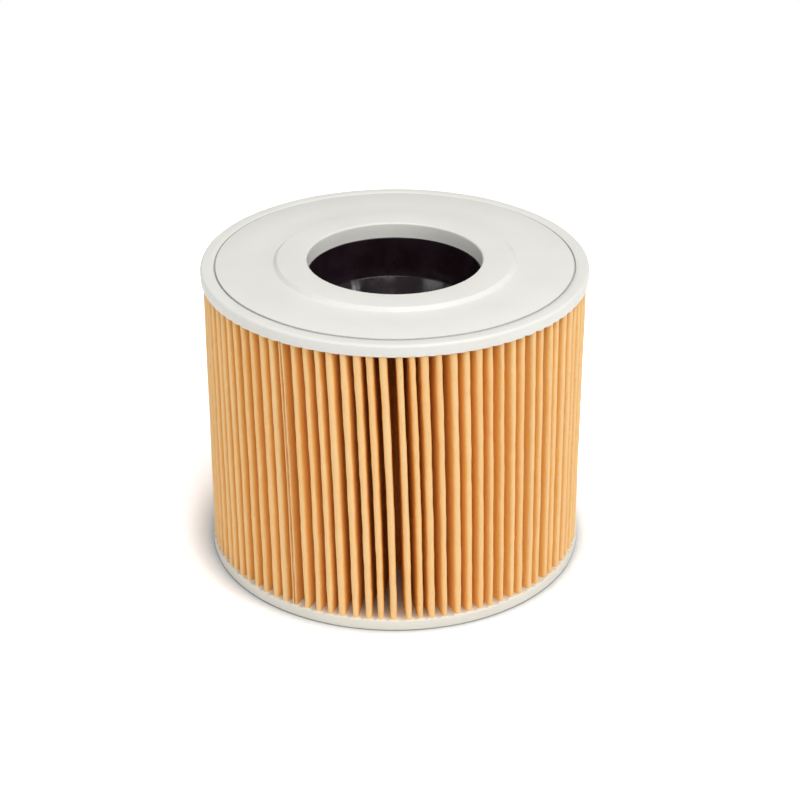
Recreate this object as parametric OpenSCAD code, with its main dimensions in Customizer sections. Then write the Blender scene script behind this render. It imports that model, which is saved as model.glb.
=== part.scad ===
// Cartridge filter of a wet and dry vacuum cleaner.
// A strip of filter paper, folded into a ring of deep pleats, stands between two cast end caps.
// The top cap is open and takes the suction spigot, and the bottom cap is closed.
// The model stands on its bottom cap, with Z along the axis and the seam at the front left.

/* [Overall] */
// Diameter of the top end cap
outer_d = 188; // [160:1:230]
// Height from the base to the rim of the top end cap
height = 152; // [100:1:220]

/* [Top end cap] */
// Thickness of the cap at its outer wall
cap_t = 6; // [5:0.5:10]
// Rounding of the upper outer edge
cap_edge_r = 1.4; // [0.5:0.1:2]
// Rounding of the lower outer edge
cap_lip_r = 0.5; // [0.2:0.1:1]
// Width of the flat rim, from the outer wall to its bevel
rim_w = 4.6; // [3:0.1:8]
// Width of the bevel between the rim and the groove
rim_bevel_w = 1.9; // [1:0.1:4]
// Drop of the bevel below the rim
rim_bevel_h = 0.35; // [0.1:0.05:1]
// Width of the groove round the face
groove_w = 0.7; // [0.4:0.1:2]
// Depth of the groove below the face
groove_depth = 0.7; // [0.3:0.1:2]

/* [Sealing ring and bore] */
// Diameter of the raised sealing ring at its foot
ring_d = 117; // [110:1:130]
// Height of the sealing ring above the face
ring_h = 1.8; // [1:0.1:4]
// Width of the slope round the sealing ring
ring_slope_w = 1.1; // [0.5:0.1:3]
// Rounding at the foot and the crown of the slope
ring_fillet_r = 0.6; // [0.2:0.1:1]
// Diameter of the bore that takes the suction spigot
bore_d = 85; // [70:1:90]
// Rounding of the mouth of the bore
bore_edge_r = 1; // [0.3:0.1:2]

/* [Bottom end cap] */
// Thickness of the closed cap
base_t = 5.5; // [5:0.5:10]
// How far the bottom cap stays inside the top cap
base_inset = 0.6; // [0:0.1:2]
// Rounding of the edge that the filter stands on
base_edge_r = 1.2; // [0.5:0.1:2]
// Rounding of the upper edge
base_lip_r = 0.3; // [0.2:0.1:1]

/* [Pleated paper] */
// Number of pleats, with the one at the seam
pleats = 93; // [60:1:100]
// Thickness of the paper
paper_t = 0.4; // [0.2:0.05:0.6]
// Cap wall left outside the folds
fold_cover = 0.4; // [0.2:0.1:2]
// Width of the flat crown of an outer fold
fold_crown_w = 2.3; // [1.5:0.1:3]
// Width of a pleat across its shoulders
pleat_w = 3.7; // [3:0.1:4]
// Depth of the shoulders behind the crown
shoulder_depth = 1.6; // [1:0.1:3]
// Width of a pleat at its inner fold
root_w = 1.7; // [1:0.1:2]
// Depth of the bend between two pleats
root_bend = 0.6; // [0.3:0.1:1.5]
// How deep the caps hold the ends of the paper
pot_depth = 3; // [1.5:0.5:4]

/* [Seam of the strip] */
// Bearing of the seam, left of the front
seam_bearing = 34; // [0:1:90]
// Length of the lap, from the outer edges of the two ends inwards
lap_len = 24; // [10:1:30]
// Thickness of the glue between the two ends
bead_t = 1.2; // [0.2:0.1:2]
// How far the glue stays inside each end of the lap
bead_inset = 0.6; // [0.3:0.1:2]

/* [Neck sleeve] */
// Step from the bore in to the sleeve
sleeve_step = 0.5; // [0.2:0.1:1]
// Wall of the sleeve
sleeve_t = 1.6; // [1:0.1:3]
// Height of the straight part
sleeve_h = 21; // [10:1:30]
// Ledge between the straight part and the cone
ledge_w = 0.6; // [0.3:0.1:2]
// Height of the cone
cone_h = 15; // [8:1:20]
// How far the cone closes in
cone_drop = 7.8; // [4:0.1:12]
// Radius of the bead round the mouth of the cone
cone_bead_r = 1.2; // [1:0.1:2]
// Thickness of the flange under the cap
flange_t = 2; // [1.5:0.5:4]
// Height of the rib that is cast into the cap
rib_h = 3.5; // [2:0.5:4]
// Thickness of that rib
rib_t = 1.2; // [1:0.1:1.6]

/* [Support cage] */
// Wall of the cage
cage_t = 1.8; // [1.4:0.1:3]
// Gap between the sleeve and the cage
cage_gap = 0.4; // [0.2:0.1:1]
// Gap between the cage and the inner folds
fold_gap = 0.3; // [0.2:0.1:1]
// Number of upright bars
bars = 16; // [8:2:20]
// Width of an upright bar
bar_w = 3.2; // [2:0.1:5]
// Number of hoops between the two end bands
hoops = 7; // [4:1:10]
// Height of a hoop
hoop_h = 2.4; // [1.5:0.1:4]
// Height of the solid band at each end
band_h = 8; // [6:0.5:14]

/* [Hidden] */
$fn = 180;
arc_steps = 6;
cut_margin = 1;
cage_fn = 96;
lip_share = 0.75;

cap_r = outer_d / 2;
base_r = cap_r - base_inset;
bore_r = bore_d / 2;
ring_r = ring_d / 2;
under_cap = height - cap_t;
ring_top = height + ring_h;

// The roundings beside the pleats stay inside the wall that covers the folds
cap_lip = min(cap_lip_r, lip_share * (base_inset + fold_cover));
base_lip = min(base_lip_r, lip_share * fold_cover);

// The sleeve, the cage and the inner folds lie round each other, each a named gap apart
sleeve_r = bore_r - sleeve_step;
cage_in_r = sleeve_r + sleeve_t + cage_gap;
cage_r = cage_in_r + cage_t;
fold_in_r = cage_r + fold_gap + paper_t / 2;
fold_out_r = base_r - fold_cover - paper_t / 2;
rib_out_r = cage_r - (cage_t - rib_t) / 2;

// The middle line of the paper runs half a thickness inside each outer measure
pitch = 360 / pleats;
crown_half = (fold_crown_w - paper_t) / 2;
shoulder_half = (pleat_w - paper_t) / 2;
root_half = (root_w - paper_t) / 2;
shoulder_r = fold_out_r - shoulder_depth;
root_r = fold_in_r + root_bend;
lip_half = (bead_t + paper_t) / 2;
lip_r = fold_out_r + paper_t / 2;
paper_z = base_t - pot_depth;
paper_h = under_cap - base_t + 2 * pot_depth;
seam_angle = 270 - seam_bearing;

cage_z = paper_z;
cage_top = under_cap - flange_t;
cage_h = cage_top - cage_z;
window_zone = cage_h - 2 * band_h - pot_depth;
window_h = (window_zone - hoops * hoop_h) / (hoops + 1);
window_w = 2 * PI * cage_r / bars - bar_w;

// Points of an arc about a centre, from one angle to another
function arc(c, r, from, to) = [
    for (i = [0 : arc_steps])
        let (a = from + (to - from) * i / arc_steps)
            c + r * [cos(a), sin(a)]
];

// A point at radius r and sideways place v, in the direction of angle a
function polar(a, r, v) = [r * cos(a) - v * sin(a), r * sin(a) + v * cos(a)];

// Unit vector from one point to the next
function heading(p, q) = (q - p) / norm(q - p);

// Direction of a line at its point i, with the way it turns shared out
function line_dir(pts, i) =
    let (
        back = i > 0 ? heading(pts[i - 1], pts[i]) : heading(pts[i], pts[i + 1]),
        ahead = i < len(pts) - 1 ? heading(pts[i], pts[i + 1]) : back
    )
    heading([0, 0], back + ahead);

// A line moved sideways by d, with its corners kept sharp
function beside(pts, d) = [
    for (i = [0 : len(pts) - 1])
        let (
            dir = line_dir(pts, i),
            seg = i > 0 ? heading(pts[i - 1], pts[i]) : dir,
            spread = dir * seg
        )
            pts[i] + d / spread * [-dir[1], dir[0]]
];

// Middle line of one pleat whose centre lies at angle a
function pleat_line(a) = [
    polar(a, root_r, -root_half),
    polar(a, shoulder_r, -shoulder_half),
    polar(a, fold_out_r, -crown_half),
    polar(a, fold_out_r, crown_half),
    polar(a, shoulder_r, shoulder_half),
    polar(a, root_r, root_half),
    polar(a + pitch / 2, fold_in_r, 0)
];

// Middle line of the whole strip, from one end at the seam round to the other
function strip_line() = concat(
    [
        polar(seam_angle, lip_r, lip_half),
        polar(seam_angle, lip_r - lap_len, lip_half),
        polar(seam_angle, root_r, root_half),
        polar(seam_angle + pitch / 2, fold_in_r, 0)
    ],
    [for (k = [1 : pleats - 1]) each pleat_line(seam_angle + k * pitch)],
    [
        polar(seam_angle, root_r, -root_half),
        polar(seam_angle, lip_r - lap_len, -lip_half),
        polar(seam_angle, lip_r, -lip_half)
    ]
);

// Section of the folded strip, seen along the axis
module strip_section() {
    line = strip_line();
    left = beside(line, paper_t / 2);
    right = beside(line, -paper_t / 2);
    polygon(concat(left, [for (i = [len(right) - 1 : -1 : 0]) right[i]]));
}

// Section of the glue between the two ends of the strip
module bead_section() {
    rotate(seam_angle)
        translate([lip_r - lap_len + bead_inset, -bead_t / 2])
            square([lap_len - 2 * bead_inset, bead_t]);
}

// Room in an end cap for the ends of the paper and the glue
module pot_slots() {
    translate([0, 0, paper_z])
        linear_extrude(paper_h) {
            strip_section();
            bead_section();
        }
}

// Outline of the top cap from the bore out to the wall, turned about the axis
module cap_profile() {
    face_r = cap_r - rim_w - rim_bevel_w - groove_w;
    slope_top_r = ring_r - ring_slope_w;
    polygon(concat(
        [[bore_r, under_cap]],
        arc([bore_r + bore_edge_r, ring_top - bore_edge_r], bore_edge_r, 180, 90),
        arc([slope_top_r - ring_fillet_r, ring_top - ring_fillet_r], ring_fillet_r, 90, 30),
        arc([ring_r + ring_fillet_r, height + ring_fillet_r], ring_fillet_r, 210, 270),
        [
            [face_r, height],
            [face_r, height - groove_depth],
            [face_r + groove_w, height - groove_depth],
            [face_r + groove_w, height - rim_bevel_h],
            [cap_r - rim_w, height]
        ],
        arc([cap_r - cap_edge_r, height - cap_edge_r], cap_edge_r, 90, 0),
        arc([cap_r - cap_lip, under_cap + cap_lip], cap_lip, 0, -90)
    ));
}

// Cast top end cap, open in the middle, with its sealing ring and rim groove
module top_end_cap() {
    color([0.9, 0.9, 0.87])
        difference() {
            rotate_extrude() cap_profile();
            pot_slots();
            translate([0, 0, under_cap]) rib_ring(cut_margin);
        }
}

// Outline of the closed cap
module base_profile() {
    polygon(concat(
        [[0, 0]],
        arc([base_r - base_edge_r, base_edge_r], base_edge_r, -90, 0),
        arc([base_r - base_lip, base_t - base_lip], base_lip, 0, 90),
        [[0, base_t]]
    ));
}

// Cast bottom end cap, closed, which holds the paper and the foot of the cage
module bottom_end_cap() {
    color([0.86, 0.85, 0.8])
        difference() {
            rotate_extrude() base_profile();
            pot_slots();
            translate([0, 0, cage_z]) cage_tube(pot_depth + cut_margin);
        }
}

// One strip of filter paper, folded into a ring of pleats
module pleated_paper() {
    color([0.95, 0.72, 0.44])
        translate([0, 0, paper_z])
            linear_extrude(paper_h)
                strip_section();
}

// Glue that joins the two ends of the strip
module seam_bead() {
    color([0.9, 0.8, 0.6])
        translate([0, 0, paper_z])
            linear_extrude(paper_h)
                bead_section();
}

// The rib on the flange, which the top cap is cast round
module rib_ring(below) {
    rotate_extrude()
        translate([rib_out_r - rib_t, -below])
            square([rib_t, rib_h + below]);
}

// Outline of the sleeve, its ledge and its cone, from the flange down and back up
module sleeve_profile() {
    straight_z = under_cap - sleeve_h;
    cone_z = straight_z - cone_h;
    cone_top_r = sleeve_r - ledge_w;
    mouth_r = cone_top_r - cone_drop;
    polygon([
        [sleeve_r, under_cap],
        [sleeve_r, straight_z],
        [cone_top_r, straight_z],
        [mouth_r, cone_z],
        [mouth_r + sleeve_t, cone_z],
        [sleeve_r + sleeve_t, straight_z - sleeve_t],
        [sleeve_r + sleeve_t, under_cap - flange_t],
        [cage_r, under_cap - flange_t],
        [cage_r, under_cap]
    ]);
    translate([mouth_r + cone_bead_r, cone_z]) circle(r = cone_bead_r);
}

// Moulded sleeve that lines the mouth and narrows to a cone inside
module neck_sleeve() {
    color([0.14, 0.1, 0.12]) {
        rotate_extrude() sleeve_profile();
        translate([0, 0, under_cap]) rib_ring(0);
    }
}

// Plain tube of the cage, from its foot up to height h
module cage_tube(h) {
    difference() {
        cylinder(r = cage_r, h = h, $fn = cage_fn);
        translate([0, 0, -cut_margin])
            cylinder(r = cage_in_r, h = h + 2 * cut_margin, $fn = cage_fn);
    }
}

// Cutter for one window of the cage, which stays clear of the cutters beside it
module window() {
    from_r = cage_in_r * cos(180 / bars);
    translate([from_r, -window_w / 2, 0])
        cube([cage_r + cut_margin - from_r, window_w, window_h]);
}

// Moulded cage of bars and hoops, which carries the inner folds
module support_cage() {
    first_z = cage_z + pot_depth + band_h;
    color([0.17, 0.13, 0.15])
        difference() {
            translate([0, 0, cage_z]) cage_tube(cage_h);
            for (row = [0 : hoops])
                for (bar = [0 : bars - 1])
                    translate([0, 0, first_z + row * (window_h + hoop_h)])
                        rotate((bar + 0.5) * 360 / bars)
                            window();
        }
}

top_end_cap();
bottom_end_cap();
pleated_paper();
seam_bead();
neck_sleeve();
support_cage();
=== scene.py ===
"""Looks of a round pleated cartridge filter: cast end caps, folded paper, glue, neck sleeve and cage."""

import logging
import math
from collections.abc import Callable, Sequence
from dataclasses import dataclass
from enum import Enum

import bmesh
import bpy
import numpy as np
from mathutils import Euler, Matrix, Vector


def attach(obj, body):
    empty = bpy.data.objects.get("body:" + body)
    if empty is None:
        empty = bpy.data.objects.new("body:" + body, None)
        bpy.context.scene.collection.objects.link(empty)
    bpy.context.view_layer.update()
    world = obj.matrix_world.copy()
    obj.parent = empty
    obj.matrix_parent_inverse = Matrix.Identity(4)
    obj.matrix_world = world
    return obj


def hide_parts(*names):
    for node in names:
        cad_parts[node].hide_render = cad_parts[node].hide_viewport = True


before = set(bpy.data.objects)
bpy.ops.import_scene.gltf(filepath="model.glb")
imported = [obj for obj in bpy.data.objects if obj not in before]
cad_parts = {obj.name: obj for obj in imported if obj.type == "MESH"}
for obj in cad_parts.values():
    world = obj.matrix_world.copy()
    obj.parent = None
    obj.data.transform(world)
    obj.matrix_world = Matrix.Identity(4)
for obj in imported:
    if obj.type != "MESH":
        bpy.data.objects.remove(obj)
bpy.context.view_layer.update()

log = logging.getLogger("filter")

MM = 0.001
Point = tuple[float, float]
Colour = tuple[float, float, float]


class Node(Enum):
    """Pieces of the CAD model, by node name."""

    TOP_CAP = "top_end_cap"
    BOTTOM_CAP = "bottom_end_cap"
    PAPER = "pleated_paper"
    BEAD = "seam_bead"
    SLEEVE = "neck_sleeve"
    CAGE = "support_cage"


class Slot(Enum):
    """Material slots of the record."""

    CAST = "cast_polyurethane"
    PAPER = "filter_paper"
    GLUE = "seam_glue"
    MOULDED = "dark_plastic"


class Bench:
    """Modelling by hand: the operators that every piece is shaped with."""

    @staticmethod
    def clear() -> None:
        """Leave edit mode and select nothing."""
        if bpy.context.object and bpy.context.object.mode != "OBJECT":
            bpy.ops.object.mode_set(mode="OBJECT")
        bpy.ops.object.select_all(action="DESELECT")

    @staticmethod
    def open(obj: bpy.types.Object) -> None:
        """Take one object into edit mode, in vertex mode, with nothing selected."""
        Bench.clear()
        obj.select_set(True)
        bpy.context.view_layer.objects.active = obj
        bpy.ops.object.mode_set(mode="EDIT")
        bpy.ops.mesh.select_mode(type="VERT")
        bpy.ops.mesh.select_all(action="DESELECT")

    @staticmethod
    def close() -> None:
        """Go back to object mode."""
        bpy.ops.object.mode_set(mode="OBJECT")

    @staticmethod
    def trace(name: str, points: Sequence[Vector], closed: bool) -> bpy.types.Object:
        """Draw a line through points by extruding one vertex.

        Args:
            name: name of the new object.
            points: the points in order, in metres.
            closed: whether the last point is joined to the first.

        Returns:
            The object, in edit mode, with the whole line selected.
        """
        Bench.clear()
        bpy.ops.mesh.primitive_plane_add(size=1 * MM, location=(0, 0, 0))
        obj = bpy.context.object
        obj.name = obj.data.name = name
        Bench.open(obj)
        bpy.ops.mesh.select_all(action="SELECT")
        bpy.ops.mesh.merge(type="CENTER")
        bpy.ops.transform.translate(value=points[0])
        for here, there in zip(points, points[1:]):
            bpy.ops.mesh.extrude_vertices_move(TRANSFORM_OT_translate={"value": there - here})
        if closed:
            ends = (points[0], points[-1])
            Bench.pick_verts(obj, lambda co: min((co - e).length for e in ends) < 1e-7)
            bpy.ops.mesh.edge_face_add()
        bpy.ops.mesh.select_all(action="SELECT")
        return obj

    @staticmethod
    def pick_verts(obj: bpy.types.Object, test: Callable[[Vector], bool]) -> None:
        """Select the vertices whose place passes the test, and the edges between them."""
        bpy.ops.mesh.select_all(action="DESELECT")
        bm = bmesh.from_edit_mesh(obj.data)
        for vert in bm.verts:
            vert.select = test(vert.co)
        bm.select_flush(True)
        bmesh.update_edit_mesh(obj.data)

    @staticmethod
    def pick_faces(obj: bpy.types.Object, test: Callable[[Vector, Vector], bool]) -> None:
        """Select the faces whose centre and normal pass the test."""
        bpy.ops.mesh.select_mode(type="FACE")
        bpy.ops.mesh.select_all(action="DESELECT")
        bm = bmesh.from_edit_mesh(obj.data)
        for face in bm.faces:
            face.select = test(face.calc_center_median(), face.normal)
        bm.select_flush(True)
        bmesh.update_edit_mesh(obj.data)

    @staticmethod
    def spin_round(steps: int) -> None:
        """Spin the selected line once round the Z axis and close the seam."""
        bpy.ops.mesh.spin(
            steps=steps, angle=2 * math.pi, center=(0, 0, 0), axis=(0, 0, 1), use_auto_merge=False
        )
        Bench.weld()

    @staticmethod
    def weld() -> None:
        """Merge doubles and turn every face outwards."""
        bpy.ops.mesh.select_all(action="SELECT")
        bpy.ops.mesh.remove_doubles(threshold=0.004 * MM)
        bpy.ops.mesh.select_all(action="SELECT")
        bpy.ops.mesh.normals_make_consistent(inside=False)

    @staticmethod
    def modify(obj: bpy.types.Object, kind: str, **settings: object) -> None:
        """Add one modifier with its settings and apply it.

        Args:
            obj: the object to change.
            kind: type of the modifier.
            settings: its properties by name.
        """
        Bench.clear()
        obj.select_set(True)
        bpy.context.view_layer.objects.active = obj
        modifier = obj.modifiers.new(kind.title(), kind)
        for key, value in settings.items():
            setattr(modifier, key, value)
        bpy.ops.object.modifier_apply(modifier=modifier.name)

    @staticmethod
    def reshape(obj: bpy.types.Object, move: Callable[[np.ndarray], np.ndarray]) -> None:
        """Move all vertices at once.

        Args:
            obj: the object to change, in object mode.
            move: takes the places in millimetres, one row each, and returns the new ones.
        """
        mesh = obj.data
        flat = np.zeros(len(mesh.vertices) * 3)
        mesh.vertices.foreach_get("co", flat)
        moved = move(flat.reshape(-1, 3) / MM) * MM
        mesh.vertices.foreach_set("co", moved.ravel())
        mesh.update()

    @staticmethod
    def smooth(obj: bpy.types.Object, degrees: float) -> None:
        """Shade an object smooth, with edges sharper than an angle kept."""
        Bench.clear()
        obj.select_set(True)
        bpy.context.view_layer.objects.active = obj
        bpy.ops.object.shade_smooth_by_angle(angle=math.radians(degrees))


def ring_arc(centre: Point, radius: float, start: float, end: float, steps: int = 6) -> list[Point]:
    """Points of an arc in the plane of a profile.

    Args:
        centre: its centre, as radius and height in millimetres.
        radius: its radius in millimetres.
        start: first angle in degrees.
        end: last angle in degrees.
        steps: number of chords.

    Returns:
        The points, as radius and height.
    """
    angles = [math.radians(start + (end - start) * i / steps) for i in range(steps + 1)]
    return [(centre[0] + radius * math.cos(a), centre[1] + radius * math.sin(a)) for a in angles]


def spun(name: str, outline: Sequence[Point], steps: int) -> bpy.types.Object:
    """A closed ring made from its outline.

    Args:
        name: name of the object.
        outline: radius and height of each point, in millimetres.
        steps: number of columns round the axis.

    Returns:
        The object, in object mode.
    """
    points = [Vector((r * MM, 0, z * MM)) for r, z in outline]
    obj = Bench.trace(name, points, closed=True)
    Bench.spin_round(steps)
    Bench.close()
    return obj


def smoothstep(x: np.ndarray, low: float, high: float) -> np.ndarray:
    """Ramp from 0 at low to 1 at high, with soft ends."""
    t = np.clip((x - low) / (high - low), 0, 1)
    return t * t * (3 - 2 * t)


@dataclass(frozen=True)
class Rhythm:
    """Where each pleat stands round the ring, how wide it is and how far it leans."""

    pleats: int = 93
    seam: float = 236.0
    unevenness: float = 0.11
    seed: int = 5
    under_cap: float = 146.0
    base_top: float = 5.5
    lean_knots: tuple[Point, ...] = (
        (-150, 1.5), (-95, 1.8), (-60, 2.1), (-34, 2.6), (-6, 3.1),
        (18, 2.4), (45, 1.8), (90, 1.3), (140, 1.2),
    )

    @property
    def pitch(self) -> float:
        """Angle from one pleat to the next, in degrees."""
        return 360 / self.pleats

    def centres(self) -> np.ndarray:
        """Angle of each pleat under the top cap, in degrees, with the seam first."""
        rng = np.random.default_rng(self.seed)
        shift = rng.uniform(-1, 1, self.pleats) * self.unevenness * self.pitch
        shift[[0, 1, -1]] *= (0, 0.4, 0.4)
        return self.seam + np.arange(self.pleats) * self.pitch + shift

    def widths(self) -> np.ndarray:
        """Width of each pleat as a share of the usual one."""
        rng = np.random.default_rng(self.seed + 1)
        return rng.uniform(0.84, 1.1, self.pleats)

    def lean(self, angle: np.ndarray, z: np.ndarray) -> np.ndarray:
        """How far a point is turned about the axis against its place under the top cap.

        Args:
            angle: its angle in degrees.
            z: its height in millimetres.

        Returns:
            The turn in degrees, anticlockwise seen from above.
        """
        bearings, turns = zip(*self.lean_knots)
        most = np.interp(angle + 90, bearings, turns, period=360)
        down = np.clip((self.under_cap - z) / (self.under_cap - self.base_top), 0, 1.02)
        return most * (1.4 * down - 0.4 * down**2)

    def nearest(self, angle: np.ndarray, z: float, radius: float) -> tuple[np.ndarray, np.ndarray]:
        """Nearest pleat of each angle at one height.

        Args:
            angle: angles in degrees.
            z: the height in millimetres.
            radius: the radius at which the distance is measured.

        Returns:
            Number of the nearest pleat, and the distance from its middle in millimetres.
        """
        centres = self.centres()
        stands = centres + self.lean(centres, np.full(self.pleats, z))
        gap = (angle[:, None] - stands[None, :] + 180) % 360 - 180
        which = np.abs(gap).argmin(axis=1)
        off = gap[np.arange(len(angle)), which]
        return which, np.radians(off) * radius


class Nodes:
    """A short hand for wiring the nodes of one material."""

    def __init__(self, name: str) -> None:
        """Start an empty material.

        Args:
            name: name of the material.
        """
        self.material = bpy.data.materials.new(name)
        self.material.use_nodes = True
        self.tree = self.material.node_tree
        self.tree.nodes.clear()
        self.output = self.add("ShaderNodeOutputMaterial")

    def add(self, kind: str, **inputs: object) -> bpy.types.Node:
        """Add a node and set or wire its inputs.

        Args:
            kind: type of the node.
            inputs: values or sockets by input name, with underscores for spaces.

        Returns:
            The node.
        """
        node = self.tree.nodes.new(kind)
        for key, value in inputs.items():
            self.feed(node.inputs[key.replace("_", " ")], value)
        return node

    def feed(self, socket: bpy.types.NodeSocket, value: object) -> None:
        """Wire a socket into an input, or set its value."""
        if isinstance(value, bpy.types.NodeSocket):
            self.tree.links.new(value, socket)
        elif isinstance(value, tuple) and socket.type == "RGBA":
            socket.default_value = (*value, 1.0)
        else:
            socket.default_value = value

    def place(self, stretch: tuple[float, float, float] = (1, 1, 1)) -> bpy.types.NodeSocket:
        """Object coordinates, stretched by the given scale."""
        coords = self.add("ShaderNodeTexCoord").outputs["Object"]
        return self.add("ShaderNodeMapping", Vector=coords, Scale=stretch).outputs["Vector"]

    def noise(
        self, place: bpy.types.NodeSocket, size: float, detail: float = 3, rough: float = 0.5, warp: float = 0
    ) -> bpy.types.NodeSocket:
        """Cloudy noise whose spots are about size millimetres wide."""
        node = self.add(
            "ShaderNodeTexNoise",
            Vector=place,
            Scale=1 / (size * MM),
            Detail=detail,
            Roughness=rough,
            Distortion=warp,
        )
        return node.outputs["Fac"]

    def sum(self, how: str, a: object, b: object, clamp: bool = False) -> bpy.types.NodeSocket:
        """One Math node on two values."""
        node = self.add("ShaderNodeMath")
        node.operation = how
        node.use_clamp = clamp
        self.feed(node.inputs[0], a)
        self.feed(node.inputs[1], b)
        return node.outputs[0]

    def ramp(
        self, value: bpy.types.NodeSocket, low: float, high: float, to: Point = (0, 1)
    ) -> bpy.types.NodeSocket:
        """Map a value from one range to another, with soft ends."""
        node = self.add("ShaderNodeMapRange", Value=value)
        node.interpolation_type = "SMOOTHSTEP"
        for key, number in zip(("From Min", "From Max", "To Min", "To Max"), (low, high, *to)):
            node.inputs[key].default_value = number
        return node.outputs["Result"]

    def blend(self, share: object, a: object, b: object, how: str = "MIX") -> bpy.types.NodeSocket:
        """Mix two colours."""
        node = self.add("ShaderNodeMix")
        node.data_type = "RGBA"
        node.blend_type = how
        self.feed(node.inputs["Factor"], share)
        self.feed(node.inputs[6], a)
        self.feed(node.inputs[7], b)
        return node.outputs[2]

    def relief(
        self, height: object, depth: float, after: bpy.types.NodeSocket | None = None
    ) -> bpy.types.NodeSocket:
        """A bump whose full height is depth millimetres, laid over another one."""
        node = self.add("ShaderNodeBump", Height=height, Distance=depth * MM)
        node.inputs["Strength"].default_value = 1
        if after is not None:
            self.feed(node.inputs["Normal"], after)
        return node.outputs["Normal"]

    def surface(self, **inputs: object) -> bpy.types.Material:
        """Finish the material with a Principled surface.

        Args:
            inputs: values or sockets of the surface by input name.

        Returns:
            The material.
        """
        shader = self.add("ShaderNodeBsdfPrincipled", **inputs)
        self.tree.links.new(shader.outputs[0], self.output.inputs["Surface"])
        return self.material


@dataclass(frozen=True)
class CastFinish:
    """Cast polyurethane: pale, satin, with faint clouds, fine grain, a few pin holes darkened with painted
    shade, and, where asked, a ring of painted shade along the rim groove.
    """

    name: str
    colour: Colour
    cloud: Colour
    roughness: float = 0.5
    # Radius in millimetres of a ring of painted shade along the rim groove; 0 for none.
    groove_shade_radius: float = 0.0

    def build(self) -> bpy.types.Material:
        """Wire the material.

        Returns:
            The material.
        """
        n = Nodes(self.name)
        place = n.place()
        clouds = n.ramp(n.noise(place, 38, 4, 0.55), 0.35, 0.7)
        colour = n.blend(clouds, self.colour, self.cloud)
        cells = n.add("ShaderNodeTexVoronoi", Vector=place, Scale=1 / (6 * MM))
        cells.voronoi_dimensions = "3D"
        chance = n.add("ShaderNodeSeparateColor", Color=cells.outputs["Color"]).outputs[0]
        size = n.sum("MULTIPLY", chance, 0.05)
        hole = n.sum("LESS_THAN", cells.outputs["Distance"], n.sum("SUBTRACT", size, 0.012))
        # Painted shade: the pin holes are darkened in colour, on top of the dent that the bump gives them.
        colour = n.blend(n.sum("MULTIPLY", hole, 0.35), colour, (0.42, 0.40, 0.36))
        # Painted shade: a ring of darker colour along the rim groove, standing in for the shade in the
        # crevice.
        if self.groove_shade_radius:
            flat = n.add("ShaderNodeVectorMath", Vector=n.place((1, 1, 0)))
            flat.operation = "LENGTH"
            off = n.sum("ABSOLUTE", n.sum("SUBTRACT", flat.outputs["Value"], self.groove_shade_radius * MM), 0.0)
            colour = n.blend(n.ramp(off, 0.3 * MM, 0.62 * MM, (0.62, 0.0)), colour, (0.34, 0.33, 0.29))
        grain = n.relief(n.noise(place, 0.55, 3, 0.6), 0.02)
        swell = n.relief(n.noise(place, 9, 2, 0.5), 0.05, grain)
        pitted = n.relief(n.sum("SUBTRACT", 1, hole), 0.12, swell)
        rough = n.ramp(n.noise(place, 4, 3, 0.6), 0.3, 0.75, (self.roughness - 0.05, self.roughness + 0.07))
        return n.surface(Base_Color=colour, Roughness=rough, Normal=pitted, Specular_IOR_Level=0.42)


@dataclass(frozen=True)
class PaperFinish:
    """Resin-cured filter paper with fibres, its colour painted paler on the crowns as painted light and
    deeper orange down the flanks towards the roots as painted shade.
    """

    name: str = "filter paper"
    # Colours by depth of the fold: the paler crown is painted light, and the deeper flank and root are
    # painted shade.
    crown: Colour = (1.0, 0.675, 0.325)
    flank: Colour = (1.0, 0.545, 0.14)
    root: Colour = (0.97, 0.42, 0.09)

    def build(self) -> bpy.types.Material:
        """Wire the material.

        Returns:
            The material.
        """
        n = Nodes(self.name)
        place = n.place()
        flat = n.add("ShaderNodeVectorMath", Vector=place)
        flat.operation = "MULTIPLY"
        flat.inputs[1].default_value = (1, 1, 0)
        reach = n.add("ShaderNodeVectorMath", Vector=flat.outputs["Vector"])
        reach.operation = "LENGTH"
        radius = n.sum("ADD", reach.outputs["Value"], n.sum("MULTIPLY", n.noise(place, 5, 3), 1.4 * MM))
        # Painted shade and painted light: deeper orange from the flanks in towards the roots, and paler on
        # the crowns.
        paper = n.blend(n.ramp(radius, 60 * MM, 88 * MM), self.root, self.flank)
        paper = n.blend(n.ramp(radius, 92.0 * MM, 93.3 * MM), paper, self.crown)
        tint = n.add("ShaderNodeAttribute")
        tint.attribute_name = "tint"
        paper = n.blend(n.sum("MULTIPLY", tint.outputs["Fac"], 0.22), paper, (0.96, 0.48, 0.12))
        blotch = n.ramp(n.noise(n.place((1, 1, 0.4)), 14, 4, 0.6), 0.3, 0.72)
        paper = n.blend(n.sum("MULTIPLY", blotch, 0.2), paper, (0.94, 0.46, 0.12))
        fibres = n.noise(n.place((1, 1, 0.3)), 0.5, 4, 0.7, 1.2)
        paper = n.blend(n.ramp(fibres, 0.42, 0.7, (0, 0.22)), paper, (0.96, 0.72, 0.44))
        specks = n.ramp(n.noise(place, 1.3, 2, 0.5), 0.66, 0.74, (0, 0.4))
        paper = n.blend(specks, paper, (0.80, 0.42, 0.13))
        grain = n.relief(fibres, 0.07)
        crease = n.relief(n.noise(n.place((1, 1, 0.45)), 2.6, 3, 0.6), 0.12, grain)
        return n.surface(Base_Color=paper, Roughness=0.82, Normal=crease, Specular_IOR_Level=0.25)


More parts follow.
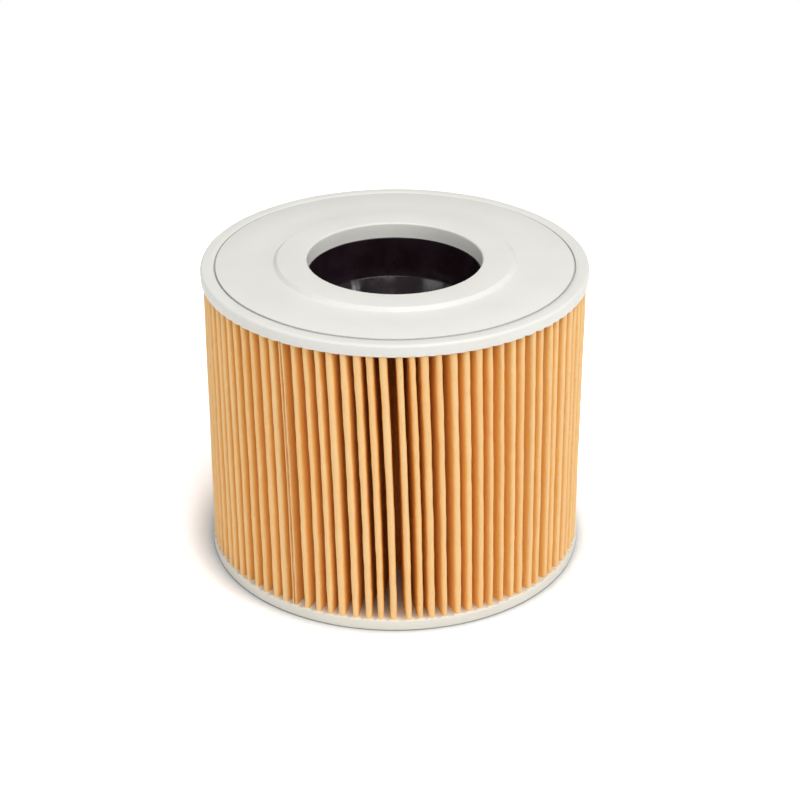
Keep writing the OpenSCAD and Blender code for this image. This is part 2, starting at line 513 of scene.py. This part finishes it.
@dataclass(frozen=True)
class MouldedFinish:
    """Injection-moulded dark plastic, with faint flow clouds and hairline scratches."""

    name: str
    colour: Colour
    roughness: float
    scratch: float = 0.01

    def build(self) -> bpy.types.Material:
        """Wire the material.

        Returns:
            The material.
        """
        n = Nodes(self.name)
        place = n.place()
        clouds = n.ramp(n.noise(place, 11, 3, 0.5), 0.3, 0.75)
        lighter = tuple(min(1.0, c * 1.7 + 0.002) for c in self.colour)
        colour = n.blend(clouds, self.colour, lighter)
        lines = n.noise(n.place((1, 1, 14)), 2.0, 2, 0.5)
        scratches = n.relief(lines, self.scratch)
        grain = n.relief(n.noise(place, 0.4, 2, 0.5), 0.004, scratches)
        low, high = self.roughness - 0.04, self.roughness + 0.08
        rough = n.ramp(n.noise(place, 6, 3, 0.6), 0.35, 0.7, (low, high))
        return n.surface(Base_Color=colour, Roughness=rough, Normal=grain, Specular_IOR_Level=0.5)


@dataclass(frozen=True)
class GlueFinish:
    """Set seam glue: amber, a little glossy, with small waves."""

    name: str = "seam glue"
    colour: Colour = (0.80, 0.52, 0.24)

    def build(self) -> bpy.types.Material:
        """Wire the material.

        Returns:
            The material.
        """
        n = Nodes(self.name)
        place = n.place()
        amber = n.blend(n.ramp(n.noise(place, 4, 3), 0.3, 0.7), self.colour, (0.70, 0.40, 0.15))
        waves = n.relief(n.noise(place, 1.5, 2), 0.1)
        return n.surface(Base_Color=amber, Roughness=0.4, Normal=waves, Specular_IOR_Level=0.5)


def hand_in(obj: bpy.types.Object, node: Node, material: bpy.types.Material) -> bpy.types.Object:
    """Dress a finished piece and put it in the frame.

    Args:
        obj: the piece, in place.
        node: the CAD node that it stands for.
        material: its finish.

    Returns:
        The piece.
    """
    obj.data.materials.clear()
    obj.data.materials.append(material)
    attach(obj, "root")
    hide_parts(node.value)
    triangles = sum(len(p.vertices) - 2 for p in obj.data.polygons)
    log.info("%s stands for %s, %d triangles", obj.name, node.value, triangles)
    return obj


@dataclass
class TopCap:
    """Open cast cap with its bore, sealing ring, rim groove and the skirt over the pleats."""

    rhythm: Rhythm
    radius: float = 94.0
    height: float = 152.0
    under: float = 146.0
    edge: float = 1.4
    lip: float = 0.5
    rim: float = 4.6
    bevel: float = 1.9
    bevel_drop: float = 0.35
    groove: float = 0.85
    groove_depth: float = 1.1
    ring: float = 58.5
    ring_height: float = 1.8
    ring_slope: float = 1.1
    fillet: float = 0.6
    bore: float = 42.5
    bore_edge: float = 1.0
    columns: int = 744
    notch: float = 0.75

    def outline(self) -> list[Point]:
        """Section of the cap.

        Returns:
            Radius and height of its points, from the foot of the bore up and round.
        """
        top = self.height + self.ring_height
        face = self.radius - self.rim - self.bevel - self.groove
        soft = 0.12
        return [
            (self.bore, self.under),
            (self.bore, self.under + 3.4),
            *ring_arc((self.bore + self.bore_edge, top - self.bore_edge), self.bore_edge, 180, 90),
            *ring_arc((self.ring - self.ring_slope - self.fillet, top - self.fillet), self.fillet, 90, 30),
            *ring_arc((self.ring + self.fillet, self.height + self.fillet), self.fillet, 210, 270),
            (72.0, self.height),
            *ring_arc((face - soft, self.height - soft), soft, 90, 0, 3),
            (face, self.height - self.groove_depth),
            (face + self.groove, self.height - self.groove_depth),
            *ring_arc((face + self.groove + soft, self.height - self.bevel_drop - soft), soft, 180, 100, 3),
            (self.radius - self.rim - 0.25, self.height - 0.045),
            (self.radius - self.rim + 0.1, self.height),
            *ring_arc((self.radius - self.edge, self.height - self.edge), self.edge, 90, 0, 8),
            (self.radius, self.under + 3.0),
            *ring_arc((self.radius - self.lip, self.under + self.lip), self.lip, 0, -90),
            (92.9, self.under),
            (80.0, self.under),
            (60.0, self.under),
        ]

    def settle(self, place: np.ndarray) -> np.ndarray:
        """Let the lower edge of the skirt rise at each crown and the faces swell a little.

        Args:
            place: places of the vertices in millimetres.

        Returns:
            The new places.
        """
        x, y, z = place.T
        angle = np.degrees(np.arctan2(y, x))
        reach = np.hypot(x, y)
        which, off = self.rhythm.nearest(angle, self.under, self.radius)
        rng = np.random.default_rng(31)
        depth = self.notch * rng.uniform(0.25, 1.0, self.rhythm.pleats)[which]
        bearing = (angle + 90 + 180) % 360 - 180
        depth = depth * (0.55 + 0.45 * smoothstep(bearing, -10, 35))
        hollow = np.exp(-((off / 1.15) ** 2)) * depth
        low = smoothstep(reach, 92.0, 93.2) * (1 - smoothstep(z, self.under + 0.1, self.under + 2.4))
        wave = 0.05 * np.sin(np.radians(angle) * 5 + 1.0) + 0.03 * np.sin(np.radians(angle) * 13 + 0.3)
        skin = smoothstep(reach, 62, 90)
        return np.column_stack((x, y, z + hollow * low + wave * skin * (z > self.height - 2)))

    def build(self) -> bpy.types.Object:
        """Model and dress the cap.

        Returns:
            The piece.
        """
        obj = spun("top_cap_casting", self.outline(), self.columns)
        Bench.reshape(obj, self.settle)
        Bench.smooth(obj, 35)
        # Middle of the rim groove, where the finish paints a ring of shade.
        line = self.radius - self.rim - self.bevel - self.groove / 2
        finish = CastFinish("cast polyurethane, top", (0.84, 0.835, 0.785), (0.81, 0.80, 0.75), groove_shade_radius=line)
        return hand_in(obj, Node.TOP_CAP, finish.build())


@dataclass
class BottomCap:
    """Closed cast cap, drawn up a little round the feet of the pleats."""

    rhythm: Rhythm
    radius: float = 93.4
    thickness: float = 5.5
    foot_edge: float = 1.2
    lip: float = 0.3
    columns: int = 744
    climb: float = 0.5

    def draw_up(self, place: np.ndarray) -> np.ndarray:
        """Raise the casting where it touches the paper.

        Args:
            place: places of the vertices in millimetres.

        Returns:
            The new places.
        """
        x, y, z = place.T
        angle = np.degrees(np.arctan2(y, x))
        reach = np.hypot(x, y)
        which, off = self.rhythm.nearest(angle, self.thickness, 91.0)
        half = 1.85 * self.rhythm.widths()[which]
        near = 1 - smoothstep(np.abs(off), half - 0.1, half + 0.85)
        rng = np.random.default_rng(47)
        rise = self.climb * rng.uniform(0.6, 1.15, self.rhythm.pleats)[which]
        zone = smoothstep(reach, 52, 60) * (1 - smoothstep(reach, 92.75, 93.25))
        top = z > self.thickness - 0.1
        sag = 0.25 * smoothstep(reach, 84, 92.5) * (1 - near)
        lift = np.where(top, (near * rise - sag) * zone, 0.0)
        wave = np.where(z > self.thickness - 0.35, 0.06 * np.sin(np.radians(angle) * 7 + 0.8), 0.0)
        return np.column_stack((x, y, z + lift + wave))

    def build(self) -> bpy.types.Object:
        """Model and dress the cap.

        Returns:
            The piece.
        """
        Bench.clear()
        bpy.ops.mesh.primitive_cylinder_add(
            vertices=self.columns,
            radius=self.radius * MM,
            depth=self.thickness * MM,
            location=(0, 0, self.thickness * MM / 2),
            end_fill_type="NGON",
        )
        obj = bpy.context.object
        obj.name = obj.data.name = "bottom_cap_casting"
        bpy.ops.object.transform_apply(location=True, rotation=True, scale=True)
        Bench.open(obj)
        Bench.pick_verts(obj, lambda co: co.z < 0.1 * MM)
        bpy.ops.mesh.bevel(offset=self.foot_edge * MM, segments=5, affect="EDGES")
        Bench.pick_verts(obj, lambda co: co.z > (self.thickness - 0.1) * MM)
        bpy.ops.mesh.bevel(offset=self.lip * MM, segments=3, affect="EDGES")
        Bench.pick_faces(obj, lambda centre, normal: normal.z > 0.99 and centre.length < 6 * MM)
        for width in (0.35, 0.5, 0.8, 1.2, 2.0, 3.0, 5.0, 8.0, 12.0, 10.0):
            bpy.ops.mesh.inset(thickness=width * MM, depth=0)
        bpy.ops.mesh.select_all(action="SELECT")
        bpy.ops.mesh.normals_make_consistent(inside=False)
        Bench.close()
        Bench.reshape(obj, self.draw_up)
        Bench.smooth(obj, 35)
        finish = CastFinish("cast polyurethane, bottom", (0.80, 0.78, 0.70), (0.76, 0.74, 0.67))
        return hand_in(obj, Node.BOTTOM_CAP, finish.build())


@dataclass
class PleatedPaper:
    """One strip of paper, folded into a ring of deep pleats that lean and vary by hand."""

    rhythm: Rhythm
    thickness: float = 0.4
    foot: float = 2.5
    head: float = 149.0
    crown: float = 92.8
    inner: float = 46.3
    root: float = 46.9
    root_half: float = 0.65
    lip_half: float = 0.8
    lip_out: float = 93.0
    lap: float = 24.0
    wobble: float = 0.08
    recess: float = 0.4
    slant: float = 3.0
    slant_reach: float = 22.0

    def heights(self) -> list[float]:
        """Heights of the rows of vertices, closer together at the foot.

        Returns:
            Heights in millimetres, from the foot up.
        """
        low = [self.foot, 5.6, 6.8, 8.6, 11.2, 14.8]
        rows = 26
        high = [low[-1] + (144.0 - low[-1]) * (i + 1) / rows for i in range(rows)]
        return low + high + [self.head]

    def finger(self) -> list[Point]:
        """Middle line of one pleat in plan, from one inner bend to the next.

        Returns:
            Radius and sideways place of its points in millimetres.
        """
        turn = math.radians(self.rhythm.pitch / 2)
        bend = (self.inner * math.cos(turn), self.inner * math.sin(turn))
        side = [
            bend,
            (self.root, self.root_half),
            (78.0, 1.32),
            (90.3, 1.52),
            (91.4, 1.40),
            (92.25, 1.08),
            (92.68, 0.68),
        ]
        return [(r, -v) for r, v in side] + [(self.crown, 0.0)] + side[::-1]

    def lip(self, side: int) -> list[Point]:
        """Middle line of one end of the strip, from its edge to the first inner bend.

        Args:
            side: 1 for the end ahead of the seam, -1 for the one behind it.

        Returns:
            Radius and sideways place of its points in millimetres.
        """
        turn = math.radians(self.rhythm.pitch / 2)
        return [
            (self.lip_out, side * self.lip_half * 1.05),
            (self.lip_out - 1.2, side * self.lip_half),
            (self.lip_out - self.lap, side * self.lip_half),
            (self.root, side * self.root_half),
            (self.inner * math.cos(turn), side * self.inner * math.sin(turn)),
        ]

    def raise_line(self, name: str, line: Sequence[Point]) -> bpy.types.Object:
        """Draw a line in plan and extrude it upwards row by row.

        Args:
            name: name of the object.
            line: radius and sideways place of its points.

        Returns:
            The wall of paper, without thickness.
        """
        rows = self.heights()
        obj = Bench.trace(name, [Vector((r * MM, v * MM, rows[0] * MM)) for r, v in line], closed=False)
        for low, high in zip(rows, rows[1:]):
            bpy.ops.mesh.extrude_region_move(TRANSFORM_OT_translate={"value": (0, 0, (high - low) * MM)})
        Bench.close()
        return obj

    def stand(self, place: np.ndarray, index: int) -> np.ndarray:
        """Put one pleat in its place, with its own width, wobble and lean.

        Args:
            place: places of its vertices, with the pleat pointing along X.
            index: number of the pleat.

        Returns:
            The new places.
        """
        centres = self.rhythm.centres()
        centre = centres[index]
        before = (centres[index - 1] - (360 if index == 0 else 0) + centre) / 2
        after = (centres[(index + 1) % len(centres)] + (360 if index == len(centres) - 1 else 0) + centre) / 2
        x, y, z = place.T
        reach = np.hypot(x, y)
        off = np.degrees(np.arctan2(y, x))
        bend = np.abs(off) > 0.9 * self.rhythm.pitch / 2
        rng = np.random.default_rng(1000 + index)
        outer = smoothstep(reach, 55, 90)
        tip = smoothstep(reach, 86, 92)
        if index == 0:
            width = np.ones_like(z)
            drop = 0.0
        else:
            foot = 1 - 0.16 * np.exp(-np.clip(z - 5.5, 0, 200) / 3.0)
            swell = 1 + 0.06 * np.sin(z / 146 * math.pi * rng.uniform(0.6, 2.2) + rng.uniform(0, 6))
            width = 1 + (self.rhythm.widths()[index] * foot * swell - 1) * outer
            drop = self.recess * rng.uniform(0, 1) ** 2
        side = np.where(y >= 0, 0.0, 1.0)
        edge = np.zeros_like(z)
        for length in (47.0, 21.0, 11.0):
            phase = rng.uniform(0, 2 * math.pi, 2)
            swing = np.sin(2 * math.pi * z / length + phase[0] + side * phase[1] * 0.7)
            edge += swing * rng.uniform(0.5, 1.0)
        belly = smoothstep(reach, 60, 76) * (1 - smoothstep(reach, 80, 90)) * rng.uniform(-0.35, 0.35)
        inside = smoothstep(z, 8, 30) * (1 - smoothstep(z, 128, 143))
        sideways = self.wobble * edge * tip + belly * inside
        sway = 0.2 * np.sin(z / 146 * math.pi) * rng.uniform(-1, 1) * outer
        behind = np.clip(self.crown - reach, 0, self.slant_reach) * math.tan(math.radians(self.slant))
        sway = sway - behind * smoothstep(reach, 50, self.crown - self.slant_reach)
        out = reach - drop * tip + 0.06 * tip * np.sin(z / 9.0 + rng.uniform(0, 6))
        turn = off * width + np.degrees((sideways + sway) / np.maximum(reach, 1))
        angle = np.where(bend, np.where(off > 0, after, before), centre + turn)
        angle = np.radians(angle + self.rhythm.lean(angle, z))
        return np.column_stack((out * np.cos(angle), out * np.sin(angle), z))

    def tint(self, obj: bpy.types.Object, value: float) -> None:
        """Give every vertex of a pleat the same share of a deeper tint."""
        layer = obj.data.attributes.new("tint", "FLOAT", "POINT")
        layer.data.foreach_set("value", np.full(len(obj.data.vertices), value, np.float32))

    def build(self) -> bpy.types.Object:
        """Model and dress the strip.

        Returns:
            The piece.
        """
        rng = np.random.default_rng(77)
        model = self.raise_line("pleat", self.finger())
        parts = []
        for side in (1, -1):
            lip = self.raise_line("strip_end", self.lip(side))
            self.tint(lip, 0.2)
            Bench.reshape(lip, lambda place: self.stand(place, 0))
            parts.append(lip)
        for index in range(1, self.rhythm.pleats):
            pleat = model.copy()
            pleat.data = model.data.copy()
            bpy.context.collection.objects.link(pleat)
            self.tint(pleat, float(rng.uniform(0, 1)))
            Bench.reshape(pleat, lambda place, i=index: self.stand(place, i))
            parts.append(pleat)
        bpy.data.objects.remove(model)
        Bench.clear()
        for part in parts:
            part.select_set(True)
        bpy.context.view_layer.objects.active = parts[0]
        bpy.ops.object.join()
        obj = bpy.context.object
        obj.name = obj.data.name = "filter_paper_strip"
        Bench.open(obj)
        Bench.weld()
        Bench.close()
        Bench.modify(obj, "SOLIDIFY", thickness=self.thickness * MM, offset=0, use_even_offset=True)
        Bench.smooth(obj, 75)
        return hand_in(obj, Node.PAPER, PaperFinish().build())


@dataclass
class SeamGlue:
    """Bead of glue between the two ends of the strip."""

    rhythm: Rhythm
    inner: float = 69.6
    outer: float = 92.4
    width: float = 1.2
    foot: float = 2.5
    head: float = 149.0

    def settle(self, place: np.ndarray) -> np.ndarray:
        """Lean the bead with the strip and let its edge wander.

        Args:
            place: places of the vertices, with the bead pointing along X.

        Returns:
            The new places.
        """
        x, y, z = place.T
        rim = smoothstep(x, 85, 92)
        x = x - rim * (0.15 + 0.15 * np.sin(z / 6.0) + 0.1 * np.sin(z / 2.7 + 1))
        reach = np.hypot(x, y)
        angle = self.rhythm.seam + np.degrees(np.arctan2(y, x))
        angle = np.radians(angle + self.rhythm.lean(angle, z))
        return np.column_stack((reach * np.cos(angle), reach * np.sin(angle), z))

    def build(self) -> bpy.types.Object:
        """Model and dress the bead.

        Returns:
            The piece.
        """
        Bench.clear()
        middle = ((self.inner + self.outer) / 2 * MM, 0, (self.foot + self.head) / 2 * MM)
        bpy.ops.mesh.primitive_cube_add(size=1, location=middle)
        obj = bpy.context.object
        obj.name = obj.data.name = "seam_glue_bead"
        obj.scale = ((self.outer - self.inner) * MM, self.width * MM, (self.head - self.foot) * MM)
        bpy.ops.object.transform_apply(location=True, rotation=True, scale=True)
        Bench.open(obj)
        Bench.pick_verts(obj, lambda co: co.x > (self.outer - 0.1) * MM)
        bpy.ops.mesh.extrude_region_move(TRANSFORM_OT_translate={"value": (0.001 * MM, 0, 0)})
        bpy.ops.mesh.select_all(action="SELECT")
        for row in range(1, 40):
            height = self.foot + (self.head - self.foot) * row / 40
            bpy.ops.mesh.bisect(plane_co=(0, 0, height * MM), plane_no=(0, 0, 1))
            bpy.ops.mesh.select_all(action="SELECT")
        bpy.ops.mesh.remove_doubles(threshold=0.004 * MM)
        rim, side = (self.outer - 0.1) * MM, 0.5 * self.width * MM - 1e-6
        Bench.pick_verts(obj, lambda co: co.x > rim and abs(co.y) > side)
        bpy.ops.mesh.bevel(offset=0.35 * MM, segments=3, affect="EDGES")
        bpy.ops.mesh.select_all(action="SELECT")
        bpy.ops.mesh.normals_make_consistent(inside=False)
        Bench.close()
        Bench.reshape(obj, self.settle)
        Bench.smooth(obj, 50)
        return hand_in(obj, Node.BEAD, GlueFinish().build())


@dataclass
class NeckSleeve:
    """Glossy moulding inside the mouth: flange, rib, straight wall, ledge and cone."""

    under: float = 146.0
    radius: float = 42.0
    wall: float = 1.6
    outer: float = 45.8
    flange: float = 2.0
    rib_in: float = 44.3
    rib_out: float = 45.5
    rib_top: float = 149.5
    step_z: float = 125.0
    cone_top: float = 41.4
    cone_z: float = 110.0
    mouth: float = 33.6
    bead: float = 1.2
    columns: int = 448
    witness_at: float = 120.0
    witness_width: float = 1.1
    witness_height: float = 0.07

    def outline(self) -> list[Point]:
        """Section of the sleeve.

        Returns:
            Radius and height of its points, down the inside and up the outside.
        """
        soft = 0.3
        return [
            (self.radius + 0.15, self.under),
            (self.radius, self.under - 0.15),
            (self.radius, 139.0),
            (self.radius, 132.0),
            (self.radius, self.step_z + 0.12),
            (self.radius - 0.1, self.step_z),
            *ring_arc((self.cone_top + soft, self.step_z - soft), soft, 90, 153, 4),
            (self.cone_top - 2.3, self.step_z - 5.0),
            (self.cone_top - 4.9, self.step_z - 10.0),
            *ring_arc((self.mouth + self.bead, self.cone_z), self.bead, 153, 350, 9),
            (self.radius + self.wall, self.step_z - self.wall),
            (self.radius + self.wall, self.under - self.flange - 0.3),
            (self.radius + self.wall + 0.3, self.under - self.flange),
            (self.outer - 0.2, self.under - self.flange),
            (self.outer, self.under - self.flange + 0.2),
            (self.outer, self.under),
            (self.rib_out, self.under),
            (self.rib_out, self.rib_top - 0.2),
            (self.rib_out - 0.2, self.rib_top),
            (self.rib_in + 0.2, self.rib_top),
            (self.rib_in, self.rib_top - 0.2),
            (self.rib_in, self.under),
        ]

    def part_line(self, place: np.ndarray) -> np.ndarray:
        """Raise the witness line of the mould on the inside.

        Args:
            place: places of the vertices in millimetres.

        Returns:
            The new places.
        """
        x, y, z = place.T
        reach = np.hypot(x, y)
        off = np.radians(np.degrees(np.arctan2(y, x)) - self.witness_at) * reach
        inside = (reach < self.radius + 0.3) & (z > self.cone_z)
        rise = self.witness_height * np.exp(-((off / self.witness_width) ** 2)) * inside
        share = (reach - rise) / reach
        return np.column_stack((x * share, y * share, z))

    def build(self) -> bpy.types.Object:
        """Model and dress the sleeve.

        Returns:
            The piece.
        """
        obj = spun("neck_sleeve_moulding", self.outline(), self.columns)
        Bench.reshape(obj, self.part_line)
        Bench.smooth(obj, 40)
        finish = MouldedFinish("glossy dark plastic", (0.0115, 0.0062, 0.0088), 0.16)
        return hand_in(obj, Node.SLEEVE, finish.build())


@dataclass
class SupportCage:
    """Moulded cage of bars and hoops inside the folds."""

    inner: float = 44.0
    outer: float = 45.8
    foot: float = 2.5
    head: float = 144.0
    band: float = 8.0
    pot: float = 3.0
    bars: int = 16
    bar: float = 3.2
    hoops: int = 7
    hoop: float = 2.4
    spans: int = 6

    def levels(self) -> list[Point]:
        """Lowest and highest point of each row of windows.

        Returns:
            The two heights of each row in millimetres.
        """
        first = self.foot + self.pot + self.band
        tall = (self.head - self.band - first - self.hoops * self.hoop) / (self.hoops + 1)
        starts = [first + row * (tall + self.hoop) for row in range(self.hoops + 1)]
        return [(z, z + tall) for z in starts]

    def spread(self, place: np.ndarray) -> np.ndarray:
        """Draw two columns of each span together, so that a bar fits between them.

        Args:
            place: places of the vertices in millimetres.

        Returns:
            The new places.
        """
        x, y, z = place.T
        pitch = 360 / self.bars
        bar = math.degrees(self.bar / self.outer)
        turn = np.degrees(np.arctan2(y, x)) % 360
        step = np.rint(turn / (pitch / (self.spans + 1))).astype(int)
        span, part = step // (self.spans + 1), step % (self.spans + 1)
        inside = bar / 2 + (part - 1) * (pitch - bar) / (self.spans - 1)
        angle = np.radians(span * pitch + np.where(part == 0, -bar / 2, inside))
        reach = np.hypot(x, y)
        return np.column_stack((reach * np.cos(angle), reach * np.sin(angle), z))

    def build(self) -> bpy.types.Object:
        """Model and dress the cage.

        Returns:
            The piece.
        """
        Bench.clear()
        bpy.ops.mesh.primitive_cylinder_add(
            vertices=self.bars * (self.spans + 1),
            radius=(self.inner + self.outer) / 2 * MM,
            depth=(self.head - self.foot) * MM,
            location=(0, 0, (self.head + self.foot) / 2 * MM),
            end_fill_type="NOTHING",
        )
        obj = bpy.context.object
        obj.name = obj.data.name = "support_cage_moulding"
        bpy.ops.object.transform_apply(location=True, rotation=True, scale=True)
        Bench.open(obj)
        for height in [z for level in self.levels() for z in level]:
            bpy.ops.mesh.select_all(action="SELECT")
            bpy.ops.mesh.bisect(plane_co=(0, 0, height * MM), plane_no=(0, 0, 1))
        Bench.close()
        Bench.reshape(obj, self.spread)
        Bench.open(obj)
        rows = [(low * MM, high * MM) for low, high in self.levels()]
        clear_of_bar = math.radians(360 / self.bars / 2) - math.asin(self.bar / self.outer / 2) - 0.001

        def in_window(centre: Vector, _normal: Vector) -> bool:
            """Whether a face lies in a window."""
            turn = math.atan2(centre.y, centre.x) % math.radians(360 / self.bars)
            from_middle = abs(turn - math.radians(180 / self.bars))
            return from_middle < clear_of_bar and any(low < centre.z < high for low, high in rows)

        Bench.pick_faces(obj, in_window)
        bpy.ops.mesh.delete(type="FACE")
        Bench.weld()
        Bench.close()
        wall = (self.outer - self.inner) * MM
        Bench.modify(obj, "SOLIDIFY", thickness=wall, offset=0, use_even_offset=True)
        Bench.modify(
            obj, "BEVEL", width=0.3 * MM, segments=2, limit_method="ANGLE", angle_limit=math.radians(50)
        )
        Bench.smooth(obj, 40)
        finish = MouldedFinish("satin dark plastic", (0.016, 0.011, 0.013), 0.42)
        return hand_in(obj, Node.CAGE, finish.build())


@dataclass(frozen=True)
class Lamp:
    """One soft box."""

    name: str
    bearing: float
    height: float
    distance: float
    width: float
    tall: float
    power: float
    colour: Colour = (1.0, 1.0, 1.0)

    def build(self, aim: Vector) -> None:
        """Hang the lamp so that it faces a point.

        Args:
            aim: the point in metres.
        """
        data = bpy.data.lights.new(self.name, "AREA")
        data.shape = "RECTANGLE"
        data.size = self.width
        data.size_y = self.tall
        data.energy = self.power
        data.color = self.colour
        lamp = bpy.data.objects.new(self.name, data)
        bpy.context.scene.collection.objects.link(lamp)
        turn, rise = math.radians(self.bearing), math.radians(self.height)
        towards = Vector((math.sin(turn) * math.cos(rise), -math.cos(turn) * math.cos(rise), math.sin(rise)))
        lamp.location = aim + towards * self.distance
        lamp.rotation_euler = towards.to_track_quat("Z", "Y").to_euler()


@dataclass
class Studio:
    """White floor, even room light and soft boxes."""

    room: float = 0.25
    floor_shade: float = 0.86
    floor_seen: float = 2.8
    contact: float = 42.0
    contact_span: Point = (0.4, 0.95)
    contact_shade: Point = (0.13, 0.75)
    fade: Point = (0.45, 0.85)
    lamps: tuple[Lamp, ...] = (
        Lamp("key", 32, 64, 1.7, 1.5, 1.5, 24.5),
        Lamp("left", -58, 20, 1.6, 0.7, 1.1, 5.0),
        Lamp("strip", 58, 21, 1.5, 0.08, 0.4, 3.0),
    )

    def build(self) -> None:
        """Make the floor, the world and the lamps."""
        self.build_floor()
        self.build_world()
        for lamp in self.lamps:
            lamp.build(Vector((0, 0, 0.08)))

    def seen(self, nodes: Nodes) -> bpy.types.NodeSocket:
        """1 where a ray comes from the camera or a mirror-like surface."""
        path = nodes.add("ShaderNodeLightPath").outputs
        mirrored = nodes.sum("ADD", path["Is Glossy Ray"], path["Is Transmission Ray"], clamp=True)
        return nodes.sum("ADD", path["Is Camera Ray"], mirrored, clamp=True)

    def build_floor(self) -> None:
        """Lay the floor: white to the camera, with the shadow of the filter."""
        Bench.clear()
        bpy.ops.mesh.primitive_plane_add(size=30, location=(0, 0, 0))
        floor = bpy.context.object
        floor.name = "studio_floor"
        n = Nodes("white floor")
        plain = n.add("ShaderNodeBsdfDiffuse", Color=(self.floor_shade,) * 3)
        near = n.add("ShaderNodeAmbientOcclusion", Distance=self.contact * MM)
        near.samples = 24
        open_share = n.ramp(near.outputs["AO"], *self.contact_span, self.contact_shade)
        shade = n.add("ShaderNodeCombineColor")
        for channel in shade.inputs:
            n.feed(channel, n.sum("MULTIPLY", open_share, self.floor_seen))
        bright = n.add("ShaderNodeBsdfDiffuse", Color=shade.outputs["Color"])
        both = n.add("ShaderNodeMixShader", Fac=self.seen(n))
        n.tree.links.new(plain.outputs[0], both.inputs[1])
        n.tree.links.new(bright.outputs[0], both.inputs[2])
        reach = n.add("ShaderNodeVectorMath", Vector=n.place())
        reach.operation = "LENGTH"
        away = n.ramp(reach.outputs["Value"], *self.fade)
        white = n.add("ShaderNodeEmission", Color=(1.0, 1.0, 1.0), Strength=1.0)
        faded = n.add("ShaderNodeMixShader", Fac=n.sum("MULTIPLY", away, self.seen(n)))
        n.tree.links.new(both.outputs[0], faded.inputs[1])
        n.tree.links.new(white.outputs[0], faded.inputs[2])
        n.tree.links.new(faded.outputs[0], n.output.inputs["Surface"])
        floor.data.materials.append(n.material)

    def build_world(self) -> None:
        """Light the room evenly, and show it white."""
        world = bpy.data.worlds.new("studio")
        bpy.context.scene.world = world
        world.use_nodes = True
        tree = world.node_tree
        tree.nodes.clear()
        out = tree.nodes.new("ShaderNodeOutputWorld")
        light = tree.nodes.new("ShaderNodeBackground")
        light.inputs["Color"].default_value = (1, 1, 1, 1)
        light.inputs["Strength"].default_value = self.room
        white = tree.nodes.new("ShaderNodeBackground")
        white.inputs["Color"].default_value = (1, 1, 1, 1)
        white.inputs["Strength"].default_value = 1
        path = tree.nodes.new("ShaderNodeLightPath")
        mix = tree.nodes.new("ShaderNodeMixShader")
        tree.links.new(path.outputs["Is Camera Ray"], mix.inputs["Fac"])
        tree.links.new(light.outputs[0], mix.inputs[1])
        tree.links.new(white.outputs[0], mix.inputs[2])
        tree.links.new(mix.outputs[0], out.inputs["Surface"])


@dataclass(frozen=True)
class Viewpoint:
    """Camera of the photograph."""

    away: float = 0.900
    up: float = 0.5476
    pitch: float = 27.67
    turn: float = 0.16
    lens: float = 91.2

    def build(self) -> None:
        """Set up the camera."""
        data = bpy.data.cameras.new("camera")
        data.sensor_width = 36
        data.lens = self.lens
        camera = bpy.data.objects.new("camera", data)
        bpy.context.scene.collection.objects.link(camera)
        camera.location = (0, -self.away, self.up)
        camera.rotation_euler = Euler((math.radians(90 - self.pitch), 0, math.radians(-self.turn)))
        bpy.context.scene.camera = camera


def main() -> None:
    """Build every piece, then the studio and the camera."""
    logging.basicConfig(level=logging.INFO, format="%(message)s")
    bpy.context.scene.view_settings.view_transform = "Standard"
    rhythm = Rhythm()
    assemblies = (
        TopCap(rhythm),
        BottomCap(rhythm),
        PleatedPaper(rhythm),
        SeamGlue(rhythm),
        NeckSleeve(),
        SupportCage(),
    )
    for assembly in assemblies:
        assembly.build()
    Bench.clear()
    Studio().build()
    Viewpoint().build()


if __name__ == "__main__":
    main()
